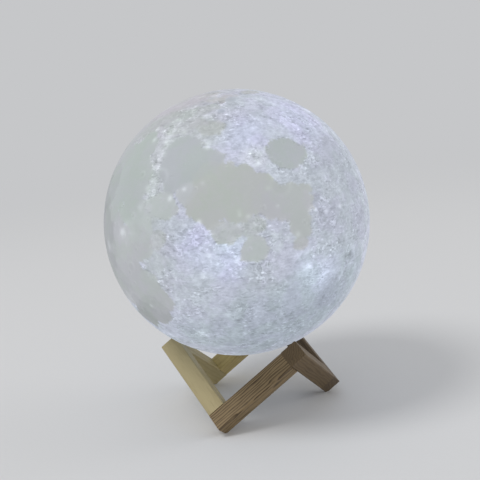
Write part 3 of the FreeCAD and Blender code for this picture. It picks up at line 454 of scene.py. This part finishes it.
def moon_surface(points):
    """Height, brightness and sea cover at each point, all about 0 to 1, and the broad tone."""
    draw = random.Random(SEED)
    rough, shore, broad, veins = (
        noise_over(points, *kind) for kind in (ROUGH_NOISE, SHORE_NOISE, BROAD_NOISE, VEIN_NOISE))
    cover, tone = broad_tones(points, shore)
    land = 1 - cover
    veins = np.exp(-(veins / 0.07) ** 2) * (1 - smooth(broad, 0.0, 0.5))
    height = 0.68 + land * (rough * 0.16 + broad * 0.06) - cover * 0.2
    glow = (0.485 + land * (broad * 0.03 + rough * 0.085 + veins * 0.04)
            + cover * (broad * 0.02 + veins * 0.004))
    for crater in CRATERS:
        dig(points, height, glow, *crater[:3], 0.16 + crater[3] * 0.3)
    for _ in range(SMALL_CRATERS):
        latitude = math.degrees(math.asin(draw.uniform(-1, 1)))
        longitude = draw.uniform(-180, 180)
        radius = SMALLEST * draw.random() ** RARER
        at = moon_axes(latitude, longitude)[0]
        nearest = int(np.argmax(points @ at))
        if draw.random() < 1 - 0.96 * cover[nearest]:
            dig(points, height, glow, latitude, longitude, min(radius, LARGEST), draw.uniform(SHALLOW, STEEP))
    for latitude, longitude, radius, bright in MARKS:
        far = from_place(points, (latitude, longitude))[2]
        fresh = bright * np.exp(-(far / radius) ** 2)
        glow += fresh * (1 + 0.5 * rough)
        tone += np.clip(fresh * CHALKY, 0, 0.5)[:, None] * (np.array(CHALK) - tone)
    for latitude, longitude, reach, bright, count in SPRAYS:
        x, y, far = from_place(points, (latitude, longitude))
        bearing = np.arctan2(y, x)
        streaks = np.zeros(len(points))
        for _ in range(count):
            middle, width = draw.uniform(-math.pi, math.pi), draw.uniform(0.05, 0.16)
            length = reach * draw.uniform(0.35, 1.0)
            off = np.abs((bearing - middle + math.pi) % (2 * math.pi) - math.pi)
            streaks += np.exp(-(off / width) ** 2) * np.exp(-((far / length) ** 2) * 1.4)
        glow += bright * streaks * (1 - np.exp(-(far / 2.0) ** 2)) * np.clip(0.5 + 1.2 * rough, 0, 1.6)
    return np.clip(height, 0, 1), np.clip(glow, 0, 1), cover, tone


def extrude_ring(mesh, edges, radius, height):
    """Carries an open rim on to a new circle about the axis."""
    made = bmesh.ops.extrude_edge_only(mesh, edges=edges)["geom"]
    for corner in (g for g in made if isinstance(g, bmesh.types.BMVert)):
        across = math.hypot(corner.co.x, corner.co.y)
        corner.co = Vector((corner.co.x * radius / across, corner.co.y * radius / across, height))
    return [g for g in made if isinstance(g, bmesh.types.BMEdge)]


ball = bmesh.new()
bmesh.ops.create_icosphere(ball, subdivisions=BALL_SPLITS, radius=GLOBE_RADIUS)
bmesh.ops.subdivide_edges(ball, edges=ball.edges, cuts=BALL_CUTS, use_grid_fill=True)
for corner in ball.verts:
    corner.co = corner.co.normalized() * GLOBE_RADIUS
bmesh.ops.bisect_plane(ball, geom=ball.verts[:] + ball.edges[:] + ball.faces[:], plane_co=(0, 0, GLOBE_FLAT),
                       plane_no=(0, 0, 1), clear_inner=True)
rim = [edge for edge in ball.edges if edge.is_boundary]
for radius, up in ((FLAT_RADIUS - EASED, 0), (OPENING_RADIUS + EASED, 0), (OPENING_RADIUS, EASED),
                   (OPENING_RADIUS, NECK_HEIGHT), (NECK_RADIUS, NECK_HEIGHT)):
    rim = extrude_ring(ball, rim, radius, GLOBE_FLAT + up)
INSIDE_RADIUS = GLOBE_RADIUS - WALL
low = math.asin(NECK_RADIUS / INSIDE_RADIUS)
for row in range(INSIDE_ROWS):
    angle = low + (math.pi - INSIDE_CAP - low) * row / (INSIDE_ROWS - 1)
    rim = extrude_ring(ball, rim, INSIDE_RADIUS * math.sin(angle), -INSIDE_RADIUS * math.cos(angle))
bmesh.ops.holes_fill(ball, edges=rim)
bmesh.ops.remove_doubles(ball, verts=ball.verts, dist=1e-6)
bmesh.ops.triangulate(ball, faces=[face for face in ball.faces if len(face.verts) > 4])
bmesh.ops.recalc_face_normals(ball, faces=ball.faces)
globe_mesh = bpy.data.meshes.new("moon_globe")
ball.to_mesh(globe_mesh)
ball.free()
spots = np.empty(len(globe_mesh.vertices) * 3)
globe_mesh.vertices.foreach_get("co", spots)
spots = spots.reshape(-1, 3)
reach = np.linalg.norm(spots, axis=1)
outside = reach > GLOBE_RADIUS - ON_BALL
PLAIN_HEIGHT, PLAIN_GLOW, NO_SEA = 0.7, 0.5, 0.0
height, glow, cover = (np.full(len(spots), plain) for plain in (PLAIN_HEIGHT, PLAIN_GLOW, NO_SEA))
tone = np.tile(STONE, (len(spots), 1))
turned = (spots[outside] / reach[outside, None]) @ np.array(MOON_TURN)
height[outside], glow[outside], cover[outside], tone[outside] = moon_surface(turned)
fade = smooth(spots[:, 2], GLOBE_FLAT + RELIEF_START, GLOBE_FLAT + RELIEF_FULL) * outside
spots *= (1 + fade * (RELIEF_TOP - RELIEF * (1 - height)) / GLOBE_RADIUS)[:, None]
globe_mesh.vertices.foreach_set("co", (spots + np.array(GLOBE_CENTRE)).ravel())
for name, values in (("glow", glow), ("sea", cover)):
    globe_mesh.attributes.new(name, "FLOAT", "POINT").data.foreach_set("value", values.astype(np.float32))
globe_mesh.attributes.new("tone", "FLOAT_COLOR", "POINT").data.foreach_set(
    "color", np.hstack((tone, np.ones((len(tone), 1)))).astype(np.float32).ravel())
globe_mesh.shade_smooth()
globe_mesh.set_sharp_from_angle(angle=SHARP_EDGE)
moon_globe = bpy.data.objects.new("moon_globe", globe_mesh)
bpy.context.scene.collection.objects.link(moon_globe)
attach(moon_globe, "globe")
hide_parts("moon_shell")

BODY_TINT = (0.12, 0.12, 0.12, 1)        # the wall's share of the studio's light
GLOW_TINT = (0.45, 0.45, 0.45, 1)        # and of the light from inside
GREENISH, VIOLET = (0.985, 1.002, 0.985, 1), (1.012, 0.992, 1.03, 1)
RING_CELLS = 215                         # small ring craters
SPARK_CELLS = 300                        # bright specks
GLOW_RANGE = 1.35                        # contrast of the craters, rays and marks
FLAT_SCALE = (0.7, 0.7, 1)               # printed in level layers: marks are drawn out sideways

skin = Finish("moon_plastic", {
    "Roughness": 0.6, "Specular IOR Level": 0.3, "Coat Weight": 0.2, "Coat Roughness": 0.5,
    "Coat Tint": (1.0, 0.99, 0.985, 1.0), "Emission Strength": 1.0,
})
spot = skin.place()
lit = skin.node("ShaderNodeAttribute", {}, "Fac", attribute_name="glow")
sea = skin.node("ShaderNodeAttribute", {}, "Fac", attribute_name="sea")
tone = skin.node("ShaderNodeAttribute", {}, "Color", attribute_name="tone")
stray = skin.node("ShaderNodeTexNoise", {"Vector": spot, "Scale": 300, "Detail": 3.0}, "Color")
stray = skin.node("ShaderNodeVectorMath", {0: stray, 1: (0.003, 0.003, 0.003)}, operation="MULTIPLY")
wander = skin.node("ShaderNodeVectorMath", {0: spot, 1: stray}, operation="ADD")

# Soft noise, from coarse to fine; the last two are drawn out sideways.
patches = skin.cloud(spot, 105, 3.0, 0.6) - 0.5
grain = skin.cloud(spot, 360, 4.0, 0.62) - 0.5
layers = skin.cloud(skin.moved(spot, scale=(0.3, 0.3, 1)), 820, 2.0, 0.6) - 0.5
fine = skin.cloud(skin.moved(spot, scale=(0.5, 0.5, 1)), 1000, 2.0, 0.6) - 0.5
# Where the land is, where it is busy, and which of its two hues it leans to.
land = skin.ease(sea + grain * 0.55 + patches * 0.35, 0.2, 0.8, 1.0, 0.0)
busy = skin.ease(skin.cloud(skin.moved(spot, shift=(0.1, 0.7, 0)), 70, 3.0), 0.40, 0.60, 0.35, 1.15)
hue = skin.cloud(skin.moved(spot, shift=(0.5, 0.2, 0)), 75, 3.0, 0.6)
# Short dark strokes and pale flecks.
strokes = skin.cloud(skin.moved(spot, (0.34, 0.34, 1), shift=(0.2, 0.6, 0)), 760, 2.0)
strokes = skin.ease(strokes, 0.33, 0.44, 1.0, 0.0)
flecks = skin.cloud(skin.moved(spot, (0.45, 0.45, 1), shift=(0.6, 0.1, 0)), 880, 2.0)
flecks = skin.ease(flecks, 0.58, 0.70)
# Scarps: bright threads with dark clefts beside them, broken here and there.
scarps = skin.cloud(skin.moved(spot, shift=(0.3, 0, 0)), 270, 1.0, 0.5)
threads = skin.ease((scarps - 0.54).math("ABSOLUTE"), 0.0, 0.06, 1.0, 0.0)
clefts = skin.ease((scarps - 0.44).math("ABSOLUTE"), 0.0, 0.06, 1.0, 0.0)
broken = skin.ease(skin.cloud(skin.moved(spot, shift=(0, 0.4, 0)), 230, 3.0), 0.47, 0.60)
# Small ring craters, and single sparks.
rings = skin.cells(wander, RING_CELLS)
chance = skin.ease(skin.lot(wander, RING_CELLS, 0), 0.35, 0.9)
ring_rims = skin.ease(rings, 0.20, 0.28) * skin.ease(rings, 0.28, 0.38, 1.0, 0.0) * chance
ring_floors = skin.ease(rings, 0.10, 0.24, 1.0, 0.0) * chance
flat = skin.moved(spot, FLAT_SCALE)
flash = skin.ease(skin.lot(flat, SPARK_CELLS, 1), 0.35, 0.95)
sparks = skin.ease(skin.cells(flat, SPARK_CELLS), 0.06, 0.24, 1.0, 0.0) * flash

texture = (grain * 0.3 + patches * 0.22 + layers * 0.34 + fine * 0.42
           + (grain * 0.2 + threads * broken * 0.24 - clefts * broken * 0.13 + ring_rims * 0.18
              - ring_floors * 0.14 - strokes * 0.19 + flecks * 0.3 + sparks * 0.6 - 0.05) * busy)
light = (lit - PLAIN_GLOW) * GLOW_RANGE + texture * (land * 0.82 + 0.04) + 1.0
tinged = skin.blend(skin.ease(hue + grain * 0.3, 0.38, 0.62), GREENISH, VIOLET)
tinged = skin.blend(1.0, tone, tinged, "MULTIPLY")
glowing = skin.blend(1.0, tinged, skin.grey(light), "MULTIPLY")
relief = (ring_rims * 0.9 - ring_floors * 0.8 + grain * 0.9 + layers * 0.4
          + (threads - clefts) * broken * 0.5)
moon_globe.data.materials.append(skin.paint({
    "Base Color": skin.blend(1.0, glowing, BODY_TINT, "MULTIPLY"),
    "Emission Color": skin.blend(1.0, glowing, GLOW_TINT, "MULTIPLY"),
    "Normal": skin.bump(relief * (land * 0.8 + 0.2), 0.00014),
}))
skin.material.cycles.emission_sampling = "NONE"


# ------------------------------------------------------------------ white plastic of the module
# Collar, base cover and tower are moulded in white plastic with a fine spark-eroded satin.  The collar
# is glued into the globe; the tower and the cover are screwed together and turn in it.
def moulded(name, colour, roughness=0.42, mottle=0.03, pit=0.00001):
    """Moulded plastic: a fine satin with faint flow marks."""
    plastic = Finish(name, {"Specular IOR Level": 0.5})
    point = plastic.place()
    fine = plastic.cloud(point, 5200, 2.0, 0.6)
    flow = plastic.cloud(point, 70, 2.0)
    shaded = tuple(c * (1 - mottle * 2) for c in colour[:3]) + (1.0,)
    return plastic.paint({
        "Base Color": plastic.blend(flow, colour, shaded),
        "Roughness": fine * 0.12 + (roughness - 0.06),
        "Normal": plastic.bump(fine, pit),
    })


white_plastic = moulded("white_plastic", rgb(232, 232, 228))
for piece in ("socket_collar", "base_cover", "lamp_tower"):
    dress(piece, white_plastic)


# ------------------------------------------------------------------ touch ring and its contact
# A flat ring stamped from bright nickel-plated brass, let in flush with the cover; a fingertip on it
# switches and dims the lamp.  A gold-coloured spring pin joins it to the board.
def plated(name, colour, roughness):
    """Plated metal with fine marks from tumbling or turning."""
    metal = Finish(name, {"Metallic": 1.0})
    marks = metal.cloud(metal.place(), 1800, 4.0, 0.7)
    worn = tuple(c * 0.86 for c in colour[:3]) + (1.0,)
    return metal.paint({
        "Base Color": metal.blend(marks, colour, worn),
        "Roughness": marks * 0.16 + (roughness - 0.08),
        "Normal": metal.bump(marks, 0.000006),
    })


dress("touch_ring", plated("touch_metal", rgb(214, 216, 220), 0.2))
dress("touch_contact", plated("contact_brass", rgb(222, 186, 110), 0.25))


# ------------------------------------------------------------------ screws
# Small zinc-plated self-tapping screws with pan heads: three hold the cover, three the board and three
# the LED board.
zinc = plated("screw_steel", rgb(182, 184, 188), 0.32)
for piece in ("cover_screws", "board_screws", "led_board_screws"):
    dress(piece, zinc)


# ------------------------------------------------------------------ charging socket, light pipe, indicator
# The socket is moulded in black with a bright centre pin.  Beside it a clear rod carries the light of
# the charging indicator to the cover's face.
PIN_EDGE, PIN_CLEAR = 0.0009, 0.0012     # from the axis: the pin is bright up to here, black from there
jack = Finish("black_plastic", {"Specular IOR Level": 0.5})
point = jack.place()
off_axis = jack.node("ShaderNodeVectorMath", {0: jack.moved(point, scale=(1, 1, 0))}, "Value",
                     operation="LENGTH")
pin = jack.ease(off_axis, PIN_EDGE, PIN_CLEAR, 1.0, 0.0)
fine = jack.cloud(point, 5200, 2.0, 0.6)
dress("charging_jack", jack.paint({
    "Base Color": jack.blend(pin, rgb(34, 34, 35), rgb(200, 200, 202)),
    "Metallic": pin,
    "Roughness": fine * 0.12 + 0.36 - pin * 0.15,
    "Normal": jack.bump(fine, 0.00001),
}))

clear = Finish("clear_plastic", {"Transmission Weight": 0.85, "IOR": 1.49})
haze = clear.cloud(clear.place(), 900, 2.0)
dress("charge_light_pipe", clear.paint({
    "Base Color": clear.blend(haze, rgb(244, 248, 250), rgb(226, 234, 238)),
    "Roughness": haze * 0.1 + 0.03,
}))

dress("charge_indicator", moulded("indicator_red", rgb(190, 60, 48), 0.3))


# ------------------------------------------------------------------ main board and its parts
# A small round board of glass fibre with green lacquer, on three posts of the cover.  Pressed coil,
# two moulded chips, three ceramic capacitors with tinned ends and two nylon plugs stand on it.
board = Finish("board_green", {"Specular IOR Level": 0.55, "Coat Weight": 0.3, "Coat Roughness": 0.15})
point = board.place()
tracks = board.ease(board.cells(board.moved(point, scale=(1, 0.35, 1)), 900, feature="DISTANCE_TO_EDGE"),
                    0.04, 0.10, 1.0, 0.0)
weave = board.cloud(board.moved(point, scale=(1, 1, 0.2)), 3000, 2.0)
dress("main_board", board.paint({
    "Base Color": board.blend(tracks, rgb(22, 92, 52), rgb(44, 124, 74)),
    "Roughness": weave * 0.12 + 0.3,
    "Normal": board.bump(tracks * 0.7 + weave * 0.3, 0.00002),
}))

chip_black = moulded("chip_black", rgb(40, 40, 42), 0.55, pit=0.00002)
for piece in ("charger_chip", "touch_chip"):
    dress(piece, chip_black)
dress("power_coil", moulded("coil_grey", rgb(104, 105, 108), 0.6, pit=0.00003))
nylon = moulded("plug_white", rgb(236, 232, 218), 0.35)
for piece in ("battery_plug", "led_plug", "led_terminal"):
    dress(piece, nylon)

TIN_START, TIN_FULL = 0.00055, 0.00065   # from the middle along the part, where its tinned ends begin
ceramic = Finish("capacitor_tan", {"Specular IOR Level": 0.5})
point = ceramic.place()
CAPACITOR_LOW, CAPACITOR_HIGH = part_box("capacitors")
along = ceramic.node("ShaderNodeSeparateXYZ", {0: point}, "Y")
middle = (CAPACITOR_LOW.y + CAPACITOR_HIGH.y) / 2
tinned = ceramic.ease((along - middle).math("ABSOLUTE"), TIN_START, TIN_FULL)
speck = ceramic.cloud(point, 4000, 2.0)
dress("capacitors", ceramic.paint({
    "Base Color": ceramic.blend(tinned, ceramic.blend(speck, rgb(176, 142, 102), rgb(152, 120, 84)),
                                rgb(206, 206, 204)),
    "Metallic": tinned,
    "Roughness": speck * 0.1 + 0.35,
}))


# ------------------------------------------------------------------ cell, foam pad, leads
# A flat lithium pouch in laminated foil stands on edge in the tower, held against its ribs by a strip
# of foam tape.  Thin insulated wires run from it to the board, and from the board up to the LEDs.
foil = Finish("cell_foil", {"Metallic": 0.85})
point = foil.place()
creases = foil.cloud(foil.moved(point, scale=(1, 1, 0.5)), 220, 4.0, 0.65)
dress("battery_cell", foil.paint({
    "Base Color": foil.blend(creases, rgb(204, 206, 212), rgb(176, 178, 186)),
    "Roughness": creases * 0.2 + 0.28,
    "Normal": foil.bump(creases, 0.00025),
}))
dress("battery_pad", moulded("pad_foam", rgb(62, 62, 64), 0.9, 0.1, 0.0001))
dress("battery_leads", moulded("lead_red", rgb(186, 44, 38), 0.45))
dress("led_leads", moulded("lead_white", rgb(222, 222, 216), 0.45))


# ------------------------------------------------------------------ LED board, LEDs, milky dome
# A round aluminium board with white lacquer carries eight LEDs.  A milky dome over them spreads the
# light through the whole globe.
dress("led_board", moulded("led_board_white", rgb(238, 238, 234), 0.3))

emitter = Finish("led_glow", {"Emission Strength": 1.0})
phosphor = emitter.cloud(emitter.place(), 2500, 2.0)
dress("led_emitters", emitter.paint({
    "Base Color": emitter.blend(phosphor, rgb(244, 236, 190), rgb(250, 246, 224)),
    "Emission Color": emitter.blend(phosphor, rgb(250, 250, 244), rgb(255, 255, 250)),
    "Roughness": phosphor * 0.1 + 0.3,
}))
emitter.material.cycles.emission_sampling = "NONE"

milk = Finish("dome_opal", {"Emission Strength": 1.0, "Coat Weight": 0.2, "Coat Roughness": 0.3})
haze = milk.cloud(milk.place(), 160, 2.0)
dress("diffuser_dome", milk.paint({
    "Base Color": milk.blend(haze, rgb(240, 242, 244), rgb(232, 236, 240)),
    "Emission Color": milk.blend(haze, rgb(180, 184, 190), rgb(168, 174, 182)),
    "Roughness": haze * 0.1 + 0.35,
}))
milk.material.cycles.emission_sampling = "NONE"


# ------------------------------------------------------------------ floor, lamps and camera
# A wide pale floor that runs out into a backdrop of the same tone, a large soft lamp high on the left,
# a weak one on the right, and even light all round.
BACKDROP = rgb(198, 199, 201)
FLOOR_RADIUS = 4.0
FLOOR_CLEAR = 0.40           # the floor shows its own light and shadow up to here
FLOOR_FAR = 1.1              # and is plain backdrop from here

sheet = bmesh.new()
bmesh.ops.create_circle(sheet, cap_ends=True, segments=96, radius=FLOOR_RADIUS)
floor_mesh = bpy.data.meshes.new("floor")
sheet.to_mesh(floor_mesh)
sheet.free()
floor = bpy.data.objects.new("floor", floor_mesh)
bpy.context.scene.collection.objects.link(floor)

paper = Finish("floor_paper", {"Roughness": 0.8, "Specular IOR Level": 0.2})
point = paper.place()
fibres = paper.cloud(point, 700, 3.0)
out = paper.node("ShaderNodeVectorMath", {0: point}, "Value", operation="LENGTH")
paper.paint({"Base Color": paper.blend(fibres, rgb(213, 214, 216), rgb(217, 218, 220)),
             "Normal": paper.bump(fibres, 0.00003)})
plain = paper.node("ShaderNodeEmission", {"Color": BACKDROP, "Strength": 1.0}, "Emission")
edge = paper.node("ShaderNodeMixShader", {
    0: paper.ease(out, FLOOR_CLEAR, FLOOR_FAR), 1: Signal(paper, paper.shader.outputs[0]), 2: plain}, 0)
paper.join(edge, paper.material.node_tree.nodes["Material Output"].inputs["Surface"])
paper.material.cycles.emission_sampling = "NONE"
floor.data.materials.append(paper.material)


LAMP_COLOUR = (1.0, 0.99, 0.97)


def soft_lamp(name, place, aim, size, power):
    """A round lamp of this many metres and watts."""
    data = bpy.data.lights.new(name, "AREA")
    data.shape, data.size, data.energy, data.color = "DISK", size, power, LAMP_COLOUR
    lamp = bpy.data.objects.new(name, data)
    lamp.location = place
    lamp.rotation_euler = (Vector(aim) - Vector(place)).to_track_quat("-Z", "Y").to_euler()
    bpy.context.scene.collection.objects.link(lamp)


soft_lamp("key_lamp", (-0.8, -1.0, 2.2), aim=(0, 0, 0.08), size=0.9, power=21)
soft_lamp("side_lamp", (1.42, 0.85, 0.45), aim=(0, 0, 0.03), size=1.0, power=6.0)

EVEN_LIGHT = 0.60
world = bpy.data.worlds.new("studio")
bpy.context.scene.world = world
world.use_nodes = True
sky = world.node_tree
seen = sky.nodes.new("ShaderNodeLightPath")
even = sky.nodes["Background"]
even.inputs["Color"].default_value = (1.0, 1.0, 1.0, 1.0)
even.inputs["Strength"].default_value = EVEN_LIGHT
pale = sky.nodes.new("ShaderNodeBackground")
pale.inputs["Color"].default_value = BACKDROP
pick = sky.nodes.new("ShaderNodeMixShader")
direct = seen.outputs["Is Camera Ray"]
for ray in ("Is Glossy Ray", "Is Transmission Ray"):
    either = sky.nodes.new("ShaderNodeMath")
    either.operation = "MAXIMUM"
    sky.links.new(direct, either.inputs[0])
    sky.links.new(seen.outputs[ray], either.inputs[1])
    direct = either.outputs[0]
sky.links.new(direct, pick.inputs[0])
sky.links.new(even.outputs[0], pick.inputs[1])
sky.links.new(pale.outputs[0], pick.inputs[2])
sky.links.new(pick.outputs[0], sky.nodes["World Output"].inputs["Surface"])

CAMERA_TURN = math.radians(24.743)       # round the lamp, from straight in front of the foot
CAMERA_DROP = math.radians(12.797)       # looks down by this
CAMERA_LEAN = math.radians(-6.067)
CAMERA_DISTANCE = 0.5258
AIM_ASIDE, AIM_HEIGHT = 0.00081, 0.0989
SENSOR, FOCAL_LENGTH = 36.0, 69.03       # millimetres
NEAREST, FARTHEST = 0.02, 30.0
ahead = Vector((-math.sin(CAMERA_TURN) * math.cos(CAMERA_DROP), math.cos(CAMERA_TURN) * math.cos(CAMERA_DROP),
                -math.sin(CAMERA_DROP)))
level = Vector((math.cos(CAMERA_TURN), math.sin(CAMERA_TURN), 0))
right = level * math.cos(CAMERA_LEAN) + level.cross(ahead) * math.sin(CAMERA_LEAN)
aim = level * AIM_ASIDE + Vector((0, 0, AIM_HEIGHT))
lens = bpy.data.cameras.new("camera")
lens.sensor_width, lens.lens = SENSOR, FOCAL_LENGTH
lens.clip_start, lens.clip_end = NEAREST, FARTHEST
camera = bpy.data.objects.new("camera", lens)
camera.location = aim - ahead * CAMERA_DISTANCE
camera.rotation_euler = Matrix((right, right.cross(ahead), -ahead)).transposed().to_euler()
bpy.context.scene.collection.objects.link(camera)
bpy.context.scene.camera = camera
bpy.context.scene.view_settings.view_transform = "Standard"
